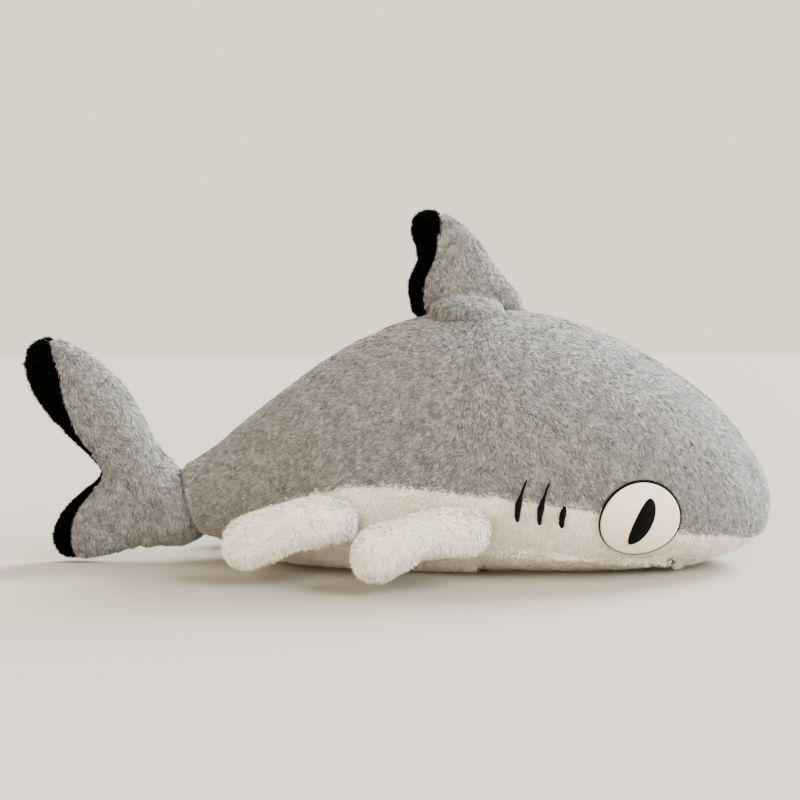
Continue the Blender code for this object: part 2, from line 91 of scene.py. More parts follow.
GREY_NAP = Pile("grey", 3.0e6, 0.0062, 28, 10, stray=0.5, width=0.0004, mottle=1.0, pull=0.5)
WHITE_NAP = Pile("white", 3.0e6, 0.0060, 26, 10, stray=0.8, width=0.0004, mottle=0.5, pull=0.2)
WHITE_FLUFF = Pile("white", 3.2e6, 0.0075, 34, 18, stray=0.9, width=0.0004, mottle=0.5, pull=0.3)
BLACK_TUFTS = Pile("black", 4.0e6, 0.0070, 38, 26, stray=0.7, width=0.0005, mottle=0.8, pull=0.5)
TUFT = 12  # strands that lean together
STRANDS_A_PIECE = 95000
ROOT_DEPTH = 0.0006  # how far below its cloth a strand starts
ANGLE_SPREAD = 0.14  # of a strand's rise and bend, in radians
LENGTH_SPREAD = 0.12  # of a strand's length, as a share of it
WIDTH_SHARES = (0.7, 1.3)  # the least and the most of a strand's width
BLADE_TWIST = 0.25
FACING_SPREAD = 0.3
PAINTED_SHADE_ROOTS = 0.7  # the share of the strands with a root one shade darker than the tip: painted shade down in the pile
UNDERSIDE = -0.8  # a normal's Z, below which the shark lies on its pile
UNDERSIDE_SHARE = 0.4  # of the strands grow there

# How the pile varies smoothly over the cloth: by how much, and the size of its humps
TURN_WAVE = (0.25, 0.012)
BEND_WAVE = (0.06, 0.009)
LENGTH_WAVE = (0.05, 0.010)
TONE_WAVE = (0.4, 0.007)
WAVES = 7
WAVES_HEIGHT = 2.6  # the spread of that many waves together


# --- Materials ---------------------------------------------------------------------------------


def principled(name, colour, roughness=0.9, sheen=0.0, shine=0.15):
    """A material with plain numbers on its shader, and the shader."""
    material = bpy.data.materials.new(name)
    material.use_nodes = True
    shader = material.node_tree.nodes["Principled BSDF"]
    shader.inputs["Base Color"].default_value = (*colour, 1)
    shader.inputs["Roughness"].default_value = roughness
    shader.inputs["Specular IOR Level"].default_value = shine
    shader.inputs["Sheen Weight"].default_value = sheen
    shader.inputs["Sheen Roughness"].default_value = 0.5
    return material, shader


def strand_shades(name, levels, tint, sheen, shine=0.15):
    """One material for each shade of a pile's fibres, the darkest first."""
    shades = []
    for number, level in enumerate(levels):
        colour = [level * share for share in tint]
        shades.append(principled(f"{name}_{number + 1}", colour, 0.75, sheen, shine)[0])
    return shades


def cloth_material(name, dark, light, grain, bump, roughness=0.95):
    """Knitted backing cloth: mottled colour at two scales, with a fine raised grain."""
    material, shader = principled(name, light, roughness, 0.3)
    nodes, links = material.node_tree.nodes, material.node_tree.links
    place = nodes.new("ShaderNodeTexCoord")
    fine = nodes.new("ShaderNodeTexNoise")
    fine.inputs["Scale"].default_value = grain
    fine.inputs["Detail"].default_value = 4.0
    links.new(place.outputs["Object"], fine.inputs["Vector"])
    colour = nodes.new("ShaderNodeValToRGB")
    colour.color_ramp.elements[0].position = 0.35
    colour.color_ramp.elements[0].color = (*dark, 1)
    colour.color_ramp.elements[1].position = 0.65
    colour.color_ramp.elements[1].color = (*light, 1)
    links.new(fine.outputs["Fac"], colour.inputs["Fac"])
    links.new(colour.outputs["Color"], shader.inputs["Base Color"])
    raised = nodes.new("ShaderNodeBump")
    raised.inputs["Strength"].default_value = bump
    raised.inputs["Distance"].default_value = 0.0005
    links.new(fine.outputs["Fac"], raised.inputs["Height"])
    links.new(raised.outputs["Normal"], shader.inputs["Normal"])
    return material


GREY_LEVELS = (0.075, 0.12, 0.18, 0.24, 0.31)
WHITE_LEVELS = (0.80, 0.86, 0.90, 0.94)
BLACK_LEVELS = (0.0006, 0.0010, 0.0016, 0.0030)

fur = {
    "grey": strand_shades("grey_pile", GREY_LEVELS, (1.0, 0.985, 0.955), 0.30),
    "white": strand_shades("white_pile", WHITE_LEVELS, (1.0, 0.94, 0.83), 0.20),
    "black": strand_shades("black_pile", BLACK_LEVELS, (1.0, 1.0, 1.0), 0.0, 0.0),
}
# The grey and white backings are darker than their piles: painted shade where the cloth shows between the
# strands, over the cloth's own mottle
cloth = {
    "grey": cloth_material("grey_backing", (0.11, 0.108, 0.104), (0.16, 0.158, 0.153), 900, 0.6),
    "white": cloth_material("white_backing", (0.66, 0.62, 0.56), (0.80, 0.76, 0.70), 900, 0.6),
    "black": cloth_material("black_backing", (0.001, 0.001, 0.001), (0.003, 0.003, 0.003), 900, 0.6),
    "eye": cloth_material("eye_cloth", (0.63, 0.56, 0.46), (0.70, 0.63, 0.53), 1800, 0.35, 0.8),
}
thread = principled("black_thread", (0.001, 0.001, 0.001), 0.6, shine=0.08)[0]


# --- Forms -------------------------------------------------------------------------------------


def linked(name, mesh):
    """An object of this mesh in the scene."""
    shown = bpy.data.objects.new(name, mesh)
    bpy.context.scene.collection.objects.link(shown)
    return shown


def evaluated_mesh(obj):
    """The object's mesh with its modifiers applied."""
    graph = bpy.context.evaluated_depsgraph_get()
    return bpy.data.meshes.new_from_object(obj.evaluated_get(graph))


def points_of(mesh):
    """A mesh's points, one in each row."""
    points = np.empty(len(mesh.vertices) * 3)
    mesh.vertices.foreach_get("co", points)
    return points.reshape(-1, 3)


def cast(nodes, voxel, roll=None):
    """Points and four-sided faces of one closed surface round these CAD nodes and a roll of cloth."""
    shape = bmesh.new()
    for node in nodes:
        shape.from_mesh(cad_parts[node].data)
    if roll is not None:
        bmesh.ops.create_uvsphere(shape, u_segments=48, v_segments=24, radius=1, matrix=roll)
    mesh = bpy.data.meshes.new("cast")
    shape.to_mesh(mesh)
    shape.free()
    obj = linked("cast", mesh)
    remesh = obj.modifiers.new("closed", "REMESH")
    remesh.mode = "VOXEL"
    remesh.voxel_size = voxel
    made = evaluated_mesh(obj)
    bpy.data.objects.remove(obj)
    points = points_of(made)
    faces = np.array([tuple(p.vertices) for p in made.polygons])
    return outermost(points, faces)


def outermost(points, faces):
    """The largest connected part of a mesh, which leaves out bubbles inside it."""
    label = np.arange(len(points))
    while True:
        lowest = label[faces].min(axis=1)
        following = label.copy()
        for corner in range(faces.shape[1]):
            np.minimum.at(following, faces[:, corner], lowest)
        following = following[following]
        if np.array_equal(following, label):
            break
        label = following
    kept = label == np.bincount(label).argmax()
    index = np.cumsum(kept) - 1
    return points[kept], index[faces[kept[faces[:, 0]]]]


SMOOTHING_STEPS = (0.5, -0.52)  # a step in and one back out, so that nothing shrinks


class Skin:
    """A closed surface of four-sided faces with smooth normals."""

    def __init__(self, points, faces):
        self.points, self.faces = points, faces
        sides = np.concatenate([faces[:, [i, (i + 1) % 4]] for i in range(4)])
        self.edges = np.unique(np.sort(sides, axis=1), axis=0)

    def averaged(self, values):
        """Each point's values become the mean of its neighbours' values."""
        total = np.zeros_like(values)
        count = np.zeros(len(values))
        for one, other in ((0, 1), (1, 0)):
            np.add.at(total, self.edges[:, one], values[self.edges[:, other]])
            np.add.at(count, self.edges[:, one], 1)
        return total / (count[:, None] if values.ndim > 1 else count)

    def smooth(self, times):
        """Rounds the surface off without shrinking it."""
        for _ in range(times):
            for step in SMOOTHING_STEPS:
                self.points = self.points + step * (self.averaged(self.points) - self.points)

    def normals(self):
        """The surface's normal at each point."""
        corners = self.points[self.faces]
        flat = np.cross(corners[:, 2] - corners[:, 0], corners[:, 3] - corners[:, 1])
        total = np.zeros_like(self.points)
        for corner in range(4):
            np.add.at(total, self.faces[:, corner], flat)
        return total / np.linalg.norm(total, axis=1, keepdims=True)

    def lie_on_floor(self):
        """Flattens the skin where it would go lower than cloth lies."""
        self.points[:, 2] = np.maximum(self.points[:, 2], CLOTH_GAP)

    def mesh(self, name, faces=None):
        """A smooth mesh of these faces, or of all the skin's."""
        shown = self.faces if faces is None else faces
        mesh = bpy.data.meshes.new(name)
        mesh.from_pydata(self.points.tolist(), [], shown.tolist())
        mesh.shade_smooth()
        return mesh


def tree_of(nodes):
    """A tree of the surfaces of these CAD nodes."""
    shape = bmesh.new()
    for node in nodes:
        shape.from_mesh(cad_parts[node].data)
    tree = BVHTree.FromBMesh(shape)
    shape.free()
    return tree


def distances(points, nodes):
    """How far each point is from these CAD nodes."""
    tree = tree_of(nodes)
    return np.array([tree.find_nearest(Vector(p))[3] for p in points])


def eased(values, start, end):
    """0 before start, 1 after end and smooth between them."""
    share = np.clip((values - start) / (end - start), 0, 1)
    return share * share * (3 - 2 * share)


ROOT_FLARES_OVER = 0.014


def seat(skin, place, along, into, width, flare=0.0):
    """Seats a moving piece's root: it flares out up to a plane, and past it moves into the body."""
    along = np.array(along) / np.linalg.norm(along)
    ahead = (skin.points - np.array(place)) @ along
    wider = flare * eased(ahead, -ROOT_FLARES_OVER, 0)
    skin.points = skin.points + skin.normals() * wider[:, None] + np.outer(eased(ahead, 0, width), into)


def ripple(points, wave, seed):
    """Smooth random values about 0. The wave is their height and the size of their humps."""
    height, size = wave
    rng = np.random.default_rng(seed)
    total = np.zeros(len(points))
    for _ in range(WAVES):
        direction = rng.normal(size=3)
        direction *= rng.uniform(0.7, 1.4) * math.pi / (size * np.linalg.norm(direction))
        total += np.sin(points @ direction + rng.uniform(0, 2 * math.pi))
    return height * (total / WAVES_HEIGHT)


# --- Cloth simulation --------------------------------------------------------------------------


PRESSURE = 4.0
SWELL_FRAMES = 20
LEAST_HOLD = 0.01  # below this share a point isn't held


def swell(skin, held, cap):
    """Blows the skin up like stuffed cloth, held at its seams. No point moves further than cap."""
    obj = linked("swelling", skin.mesh("swelling"))
    pins = obj.vertex_groups.new(name="seams")
    for index in np.flatnonzero(held > LEAST_HOLD):
        pins.add([int(index)], float(held[index]), "REPLACE")
    sim = obj.modifiers.new("cloth", "CLOTH")
    sim.settings.use_pressure = True
    sim.settings.uniform_pressure_force = PRESSURE
    sim.settings.vertex_group_mass = "seams"
    sim.settings.effector_weights.gravity = 0
    sim.settings.quality = 4
    sim.point_cache.frame_end = SWELL_FRAMES
    for number in range(1, SWELL_FRAMES + 1):
        bpy.context.scene.frame_set(number)
    moved = points_of(evaluated_mesh(obj)) - skin.points
    bpy.context.scene.frame_set(1)
    bpy.data.objects.remove(obj)
    far = np.linalg.norm(moved, axis=1, keepdims=True)
    skin.points = skin.points + moved * np.minimum(1, cap / np.maximum(far, 1e-9))


# --- Pile --------------------------------------------------------------------------------------


def scattered(skin, density, rng):
    """Random places on a skin: triangles' corners and each corner's share."""
    corners = np.concatenate([skin.faces[:, [0, 1, 2]], skin.faces[:, [0, 2, 3]]])
    base, one, other = (skin.points[corners[:, corner]] for corner in range(3))
    areas = np.linalg.norm(np.cross(one - base, other - base), axis=1) / 2
    count = int(areas.sum() * density)
    chosen = rng.choice(len(corners), count, p=areas / areas.sum())
    first, second = rng.random(count), rng.random(count)
    over = first + second > 1
    first[over], second[over] = 1 - first[over], 1 - second[over]
    shares = np.stack([1 - first - second, first, second], axis=1)
    return corners[chosen], shares


def mixed(values, corners, shares):
    """The skin's values at scattered places."""
    if values.ndim > 1:
        return np.einsum("nk,nkd->nd", shares, values[corners])
    return np.einsum("nk,nk->n", shares, values[corners])


def unit(vectors):
    """The vectors at length 1."""
    return vectors / np.maximum(np.linalg.norm(vectors, axis=1, keepdims=True), 1e-9)


def strand_mesh(name, points, facing, shades, root_shades, materials):
    """Bent blades of four points: one at the root, two at the bend and one at the tip."""
    count = len(points)
    pattern = np.array([0, 1, 2, 1, 3, 2])
    index = (np.arange(count)[:, None] * 4 + pattern).ravel()
    mesh = bpy.data.meshes.new(name)
    mesh.vertices.add(count * 4)
    mesh.vertices.foreach_set("co", points.astype(np.float32).ravel())
    mesh.loops.add(count * 6)
    mesh.loops.foreach_set("vertex_index", index.astype(np.int32))
    mesh.polygons.add(count * 2)
    mesh.polygons.foreach_set("loop_start", np.arange(0, count * 6, 3, dtype=np.int32))
    slots = np.stack([root_shades, shades], axis=1).ravel()
    mesh.polygons.foreach_set("material_index", slots.astype(np.int32))
    for material in materials:
        mesh.materials.append(material)
    mesh.update(calc_edges=True)
    mesh.shade_smooth()
    mesh.normals_split_custom_set_from_vertices(np.repeat(facing, 4, axis=0).tolist())
    return mesh


def tufts(roots, rng):
    """The strand that each strand's tuft leans to, and the tuft's number."""
    count = max(1, len(roots) // TUFT)
    middles = rng.choice(len(roots), count, replace=False)
    tree = KDTree(count)
    for number, middle in enumerate(middles):
        tree.insert(roots[middle], number)
    tree.balance()
    nearest = np.array([tree.find(root)[1] for root in roots])
    return middles[nearest], nearest


def rooted(skin, density, keep, rng):
    """Random roots on the skin where keep says so, and the skin's normals there."""
    normals = skin.normals()
    corners, shares = scattered(skin, density, rng)
    roots = mixed(skin.points, corners, shares)
    kept = keep(roots, corners, shares)
    off_floor = mixed(normals[:, 2], corners, shares) > UNDERSIDE
    kept &= (rng.random(len(roots)) < UNDERSIDE_SHARE) | off_floor
    return roots[kept], unit(mixed(normals, corners[kept], shares[kept]))


def combed(roots, out, kind, comb, seed, rng):
    """Each strand's bend and tip, the way it lies and the number of its tuft."""
    count = len(roots)
    lay = comb(roots) if callable(comb) else np.tile(comb, (count, 1))
    lay = lay - out * np.sum(lay * out, axis=1, keepdims=True)
    lay = unit(lay + 1e-6)
    turn = ripple(roots, TURN_WAVE, seed + 1) + rng.normal(0, kind.stray, count)
    lay = lay * np.cos(turn)[:, None] + np.cross(out, lay) * np.sin(turn)[:, None]
    rise = kind.rise + rng.normal(0, ANGLE_SPREAD, count)
    bend = kind.bend + rng.normal(0, ANGLE_SPREAD, count) + ripple(roots, BEND_WAVE, seed + 2)
    length = kind.length * rng.normal(1, LENGTH_SPREAD, count)
    length = length * (1 + ripple(roots, LENGTH_WAVE, seed + 3))
    low = out * np.sin(rise)[:, None] + lay * np.cos(rise)[:, None]
    high = out * np.sin(bend)[:, None] + lay * np.cos(bend)[:, None]
    bends = roots + low * (length / 2)[:, None]
    tips = bends + high * (length / 2)[:, None]
    leader, tuft = tufts(roots, rng)
    tips = tips + kind.pull * (tips[leader] - tips)
    return bends, tips, lay, tuft


def tone_and_root_shade(roots, tuft, kind, top, seed, rng):
    """The number of each strand's shade at its tip and at its root. The tip's tone varies at random; most
    roots are a shade darker, painted shade down in the pile.
    """
    count = len(roots)
    tone = top / 2 + ripple(roots, TONE_WAVE, seed + 4) + rng.normal(0, kind.mottle, count)
    tone += kind.mottle * rng.normal(size=count)[tuft]
    shades = np.clip(np.round(tone), 1, top).astype(int)
    # Most roots are one shade darker than their tip: painted shade down in the pile
    return shades, np.where(rng.random(count) < PAINTED_SHADE_ROOTS, shades - 1, shades)


def pile(name, skin, kind, body, comb, seed, keep, clear=None):
    """Grows strands where keep says so and clear leaves room, in pieces of a size the exporter keeps."""
    rng = np.random.default_rng(seed)
    roots, out = rooted(skin, kind.density, keep, rng)
    bends, tips, lay, tuft = combed(roots, out, kind, comb, seed, rng)
    count = len(roots)
    side = unit(np.cross(out, lay) + out * rng.normal(0, BLADE_TWIST, count)[:, None])
    across = side * kind.width / 2 * rng.uniform(*WIDTH_SHARES, count)[:, None]
    points = np.stack([roots - out * ROOT_DEPTH, bends - across, bends + across, tips], axis=1)
    points[:, :, 2] = np.maximum(points[:, :, 2], FLOOR_GAP)
    materials = fur[kind.colour]
    shades, root_shades = tone_and_root_shade(roots, tuft, kind, len(materials) - 1, seed, rng)
    facing = unit(out + FACING_SPREAD * rng.normal(size=(count, 3)))
    order = np.argsort(roots[:, 0], kind="stable")
    if clear:
        order = order[(clear(roots) & clear(bends) & clear(tips))[order]]
    parts = max(1, math.ceil(len(order) / STRANDS_A_PIECE))
    for number, some in enumerate(np.array_split(order, parts)):
        label = f"{name}_{number + 1}" if parts > 1 else name
        mesh = strand_mesh(label, points[some], facing[some], shades[some], root_shades[some], materials)
        piece = linked(label, mesh)
        body(piece)


# --- Eyes and gills ----------------------------------------------------------------------------

THREAD = 0.0005
THREAD_STEP = 0.0004
THREAD_SHARES = (0, 0.25, 0.5, 0.75, 1)  # the places along a thread where its points are
THREAD_ARCH = (-0.6, 0.5, 0.8, 0.5, -0.6)  # their heights, as shares of its thickness
RAY_START = 0.05  # how far outside a surface the rays that find it start
RAY_STEP = 0.0001
EYE_HEIGHT_SHARE = 0.96  # an eye is a little lower than it is long
EYE_RINGS, EYE_SIDES = 20, 96
EYE_RIM = 0.0016
EYE_FIT_SHARE = 0.9  # of the CAD eye's radius, inside which the dome is fitted
EYE_FIT_RINGS = (0, 0.25, 0.5, 0.75, 1)
EYE_REACH = 0.03  # how far from the eye's plane it still keeps pile away
OUTLINE_WIDTHS = (0.0006, 0.0017)  # at the foot and at the top of an eye
OUTLINE_OVERLAP = 0.0006
OUTLINE_DROP = (0.0004, 0.0008)  # at its inner edge, and how much more at its outer edge
PUPIL_LIFT = 0.0003
PUPIL_TURN = math.radians(6)  # a sewn pupil stands a little more upright than its flat pattern
PUPIL_STRETCH = 1.04
GILLS = (1, 2, 3)
GILL_WIDTHS = (0.8, 1.9)  # shares of the CAD gill's width on the grey and on the white cloth
GILL_WIDENS = (-0.002, 0.002)  # from before the colours' seam to past it
GILL_END = 0.35  # the share of a gill's width that its ends have
GILL_UNEVEN = (0.85, 1.15)
GILL_BOX_ROOM = 0.004  # how far outside a gill's box pile is still tested


class Eye:
    """A smooth domed surface fitted to a CAD eye, measured across and up from its middle."""

    def __init__(self, node):
        points = points_of(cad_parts[node].data)
        self.middle = points.mean(axis=0)
        _, _, axes = np.linalg.svd(points - self.middle, full_matrices=False)
        self.out = axes[2] * math.copysign(1, axes[2][1] * self.middle[1])
        self.across = unit(np.cross((0, 0, 1), self.out)[None])[0]
        self.up = np.cross(self.out, self.across)
        self.radius = np.abs((points - self.middle) @ self.across).max()
        tree = tree_of((node,))
        spots = self.round(np.arange(0, 2 * math.pi, 0.2), self.radius * EYE_FIT_SHARE)
        flat = np.concatenate([spots * share for share in EYE_FIT_RINGS])
        starts = self.middle + flat[:, :1] * self.across + flat[:, 1:] * self.up + RAY_START * self.out
        heights = [RAY_START - tree.ray_cast(Vector(s), Vector(-self.out))[3] for s in starts]
        self.shape = np.linalg.lstsq(self.terms(flat), np.array(heights), rcond=None)[0]

    @staticmethod
    def terms(flat):
        """The terms of a curved surface's height at flat places."""
        u, v = flat[..., 0], flat[..., 1]
        return np.stack([np.ones_like(u), u, v, u * u, u * v, v * v], axis=-1)

    @staticmethod
    def round(turns, radius):
        """Places on the eye's oval at these turns."""
        return np.stack([np.cos(turns) * radius, np.sin(turns) * radius * EYE_HEIGHT_SHARE], axis=-1)

    def place(self, flat, lift):
        """Points this far over the eye's surface at flat places."""
        height = (self.terms(flat) @ self.shape + lift)[..., None]
        u, v = flat[..., :1], flat[..., 1:]
        return self.middle + u * self.across + v * self.up + height * self.out

    def flat(self, points):
        """The flat places of points."""
        offset = points - self.middle
        return np.stack([offset @ self.across, offset @ self.up], axis=-1)

    def clear(self, points):
        """Which points lie off the eye and its outline."""
        flat = self.flat(points) / (1, EYE_HEIGHT_SHARE)
        near = np.abs((points - self.middle) @ self.out) < EYE_REACH
        return ~(near & (np.linalg.norm(flat, axis=1) < self.radius + OUTLINE_WIDTHS[0]))


def rows_across(node, out):
    """Lines of five points over a long flat CAD piece, from edge to edge, seen along out."""
    points = points_of(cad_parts[node].data)
    middle = points.mean(axis=0)
    flat = points - middle - np.outer((points - middle) @ out, out)
    _, _, axes = np.linalg.svd(flat, full_matrices=False)
    along, across = np.abs(flat @ axes[0]).max(), np.abs(flat @ axes[1]).max()
    tree = tree_of((node,))
    steps = np.arange(-across, across, RAY_STEP)
    rows = []
    for place in np.arange(-along, along, THREAD_STEP):
        line = middle + axes[0] * place + RAY_START * out
        casts = [tree.ray_cast(Vector(line + axes[1] * step), Vector(-out))[0] for step in steps]
        hits = [hit for hit in casts if hit is not None]
        if len(hits) >= len(THREAD_SHARES):
            rows.append([hits[round(share * (len(hits) - 1))] for share in THREAD_SHARES])
    return np.array(rows)


def stitches(name, rows, out, replaced):
    """Satin stitches: a four-sided thread along each row, arched over the cloth."""
    count = len(rows)
    arch = THREAD * np.array(THREAD_ARCH)
    threads = rows + arch[None, :, None] * out
    side = unit(np.cross(out, rows[:, -1] - rows[:, 0])) * THREAD / 2
    up = np.broadcast_to(out * THREAD / 2, side.shape)
    corners = np.stack([side, up, -side, -up], axis=1)
    points = threads[:, :, None] + corners[:, None]
    # A thread is five rings of four points, with a cap at each end
    tube = [
        (4 * r + c, 4 * r + (c + 1) % 4, 4 * r + 4 + (c + 1) % 4, 4 * r + 4 + c)
        for r in range(4) for c in range(4)
    ]
    pattern = np.array([*tube, (3, 2, 1, 0), (16, 17, 18, 19)])
    faces = (np.arange(count)[:, None, None] * 20 + pattern).reshape(-1, 4)
    mesh = bpy.data.meshes.new(name)
    mesh.from_pydata(points.reshape(-1, 3).tolist(), [], faces.tolist())
    mesh.shade_smooth()
    mesh.materials.append(thread)
    piece = linked(name, mesh)
    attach(piece, "body")
    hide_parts(replaced)


def eye_cloth_piece(word, eye):
    """The cream disc: a dome whose rim rolls down into the pile."""
    turns = np.arange(EYE_SIDES) * 2 * math.pi / EYE_SIDES
    radii = eye.radius * np.sqrt(np.arange(1, EYE_RINGS + 1) / EYE_RINGS)
    points = [eye.place(np.zeros((1, 2)), 0.0)]
    for radius in radii:
        fall = EYE_RIM * float(eased(radius, eye.radius - EYE_RIM, eye.radius))
        points.append(eye.place(eye.round(turns, radius), -fall))
    faces = [(0, 1 + i, 1 + (i + 1) % EYE_SIDES) for i in range(EYE_SIDES)]
    for ring in range(EYE_RINGS - 1):
        inner = 1 + ring * EYE_SIDES
        outer = inner + EYE_SIDES
        for i in range(EYE_SIDES):
            following = (i + 1) % EYE_SIDES
            faces.append((inner + i, outer + i, outer + following, inner + following))
    mesh = bpy.data.meshes.new(f"eye_disc_{word}")
    mesh.from_pydata(np.concatenate(points).tolist(), [], faces)
    mesh.shade_smooth()
    mesh.materials.append(cloth["eye"])
    piece = linked(f"eye_disc_{word}", mesh)
    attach(piece, "body")
    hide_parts(f"eye_{word}")


def make_eye(word, eye):
    """A cloth disc with an outline, thickest at its top, and a leaning pupil."""
    eye_cloth_piece(word, eye)
    turns = np.arange(0, 2 * math.pi, THREAD_STEP / eye.radius)
    foot, top = OUTLINE_WIDTHS
    width = foot + (top - foot) * (0.5 + 0.5 * np.sin(turns))
    edge = eye.radius - OUTLINE_OVERLAP
    rows = np.stack([
        eye.place(eye.round(turns, edge + share * width), -OUTLINE_DROP[0] - OUTLINE_DROP[1] * share)
        for share in THREAD_SHARES
    ], axis=1)
    stitches(f"eye_outline_{word}", rows, eye.out, f"eye_outline_{word}")
    flat = eye.flat(rows_across(f"pupil_{word}", eye.out))
    middle = flat.mean(axis=(0, 1))
    turn = math.copysign(PUPIL_TURN, eye.across[0])
    turned = np.array(((math.cos(turn), math.sin(turn)), (-math.sin(turn), math.cos(turn))))
    flat = middle + PUPIL_STRETCH * (flat - middle) @ turned
    stitches(f"pupil_{word}", eye.place(flat, PUPIL_LIFT), eye.out, f"pupil_{word}")


def make_gills(word, side):
    """Three tapered lines, thin in the grey pile and broad on the white. The front one is all on white."""
    out = np.array((0, side, 0))
    rng = np.random.default_rng(5)
    for number in GILLS:
        node = f"gill_{word}_{number}"
        rows = rows_across(node, out)
        middle = rows[:, 2]
        white = eased(distances(middle, GREY_NODES) - distances(middle, WHITE_NODES), *GILL_WIDENS)
        if number == GILLS[-1]:
            rows, middle, white = rows[white > 0.5], middle[white > 0.5], white[white > 0.5]
        share = (middle[:, 2] - middle[:, 2].min()) / np.ptp(middle[:, 2])
        taper = GILL_END + (1 - GILL_END) * np.sqrt(np.sin(math.pi * share).clip(0))
        width = GILL_WIDTHS[0] + (GILL_WIDTHS[1] - GILL_WIDTHS[0]) * white
        width = width * taper * rng.uniform(*GILL_UNEVEN, len(rows))
        rows = middle[:, None] + (rows - middle[:, None]) * width[:, None, None]
        stitches(f"{node}_stitches", rows, out, node)


def clear_of_stitches(room):
    """A test of which points lie off the eyes, and further than room from the gills."""
    eyes = [Eye(f"eye_{word}") for word, _ in SIDES]
    nodes = [f"gill_{word}_{number}" for number in GILLS for word, _ in SIDES]
    tree = tree_of(nodes)
    boxes = [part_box(node) for node in nodes]

    def clear(points):
        free = np.all([eye.clear(points) for eye in eyes], axis=0)
        for low, high in boxes:
            past_low = points > np.array(low) - GILL_BOX_ROOM
            before_high = points < np.array(high) + GILL_BOX_ROOM
            inside = np.all(past_low & before_high, axis=1)
            for index in np.flatnonzero(inside):
                free[index] &= tree.find_nearest(Vector(points[index]))[3] > room
        return free

    return clear


# --- The body ----------------------------------------------------------------------------------


INNER_NODES = ("mouth_lining", "body_stuffing")
BODY_SEAM = (0.002, 0.006)  # held to the first distance from the seam, and free past the second
BODY_SWELLS = 0.003  # at most
LIP_GROOVE = 0.0018  # how deep the body sinks beside the jaw's edge
LIP_GROOVE_FADES = (0.001, 0.006)  # away from the jaw
LIP_GROOVE_STARTS = (0.01, 0.04)  # ahead of the jaw's rear
MOUTH_WALL = -0.4  # the X of a normal that faces back into the mouth
HEAD_FROM = 0.05


def body_skin():
    """The body's skin, how much nearer to white cloth than to grey its points are, and the bare ones."""
    skin = Skin(*cast((*GREY_NODES, *WHITE_NODES, *INNER_NODES), VOXEL))
    skin.smooth(6)
    grey = distances(skin.points, GREY_NODES)
    white = distances(skin.points, WHITE_NODES)
    inner = distances(skin.points, INNER_NODES)
    seam = np.minimum(grey, white) + np.abs(grey - white)
    swell(skin, 1 - eased(seam, *BODY_SEAM), BODY_SWELLS)
    skin.smooth(3)
    normals = skin.normals()
    depth = np.where(grey < white, GREY_NAP.standing(), WHITE_NAP.standing())
    bare = np.minimum(grey, white) > inner + 0.001
    depth = np.where(bare, 0.0, depth)
    groove = 1 - eased(distances(skin.points, ("jaw_panel",)), *LIP_GROOVE_FADES)
    groove *= eased(skin.points[:, 0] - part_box("jaw_panel")[0].x, *LIP_GROOVE_STARTS)
    depth = depth + LIP_GROOVE * groove
    skin.points = skin.points - normals * depth[:, None]
    skin.lie_on_floor()
    return skin, grey - white, bare


def part_of_skin(name, skin, chosen, material, body):
    """The skin's chosen faces as a piece."""
    mesh = skin.mesh(name, skin.faces[chosen])
    shape = bmesh.new()
    shape.from_mesh(mesh)
    loose = [v for v in shape.verts if not v.link_faces]
    bmesh.ops.delete(shape, geom=loose, context="VERTS")
    shape.to_mesh(mesh)
    shape.free()
    mesh.materials.append(material)
    piece = linked(name, mesh)
    body(piece)
    return piece


def rides(name):
    """What makes a piece ride on this body."""
    return lambda piece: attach(piece, name)


JAW_NAP = (-0.8, 0, -0.3)  # the way the jaw's pile lies


def body_nap(roots):
    """The pile lies forwards and down over the head, and backwards and down behind it."""
    head = eased(roots[:, 0], 0.02, 0.10)[:, None]
    return head * np.array((0.5, 0, -0.85)) + (1 - head) * np.array((-0.8, 0, -0.6))


def make_body():
    """Grey cloth on the back, white cloth below it, and the lining that the open mouth shows."""
    skin, towards_white, bare = body_skin()
    on_body = rides("body")
    middle = skin.points[skin.faces].mean(axis=1)
    is_white = towards_white[skin.faces].mean(axis=1) > 0
    is_bare = bare[skin.faces].mean(axis=1) > 0.5
    for word, side in SIDES:
        chosen = ~is_white & ~is_bare & (middle[:, 1] * side >= 0)
        piece = part_of_skin(f"back_cloth_{word}", skin, chosen, cloth["grey"], on_body)
        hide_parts(f"back_panel_{word}")
    chosen = is_white & ~is_bare
    piece = part_of_skin("belly_cloth", skin, chosen, cloth["white"], on_body)
    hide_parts("belly_panel")
    piece = part_of_skin("inner_cloth", skin, is_bare, cloth["white"], on_body)
    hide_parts("mouth_lining", "body_stuffing")

    # No pile grows on the mouth's front wall, where it would hang out of the opening
    wall = (skin.normals()[:, 0] < MOUTH_WALL) & (skin.points[:, 0] > HEAD_FROM)
    shaven = np.maximum(bare, wall).astype(float)

    def keep_for(white):
        def keep(roots, corners, shares):
            share = mixed(towards_white, corners, shares)
            covered = mixed(shaven, corners, shares) < 0.5
            return ((share > 0) == white) & covered

        return keep

    pile("back_pile", skin, GREY_NAP, on_body, body_nap, 11, keep_for(False), clear_of_stitches(0.0002))
    pile("belly_pile", skin, WHITE_NAP, on_body, body_nap, 12, keep_for(True), clear_of_stitches(0.0012))


JAW_SEAM = (0.001, 0.003)
JAW_SWELLS = 0.0015
JAW_SEAM_X = 0.012  # ahead of the jaw panel's rear
JAW_INTO = (-0.010, 0, 0.002)
JAW_ROOT_WIDTH = 0.010


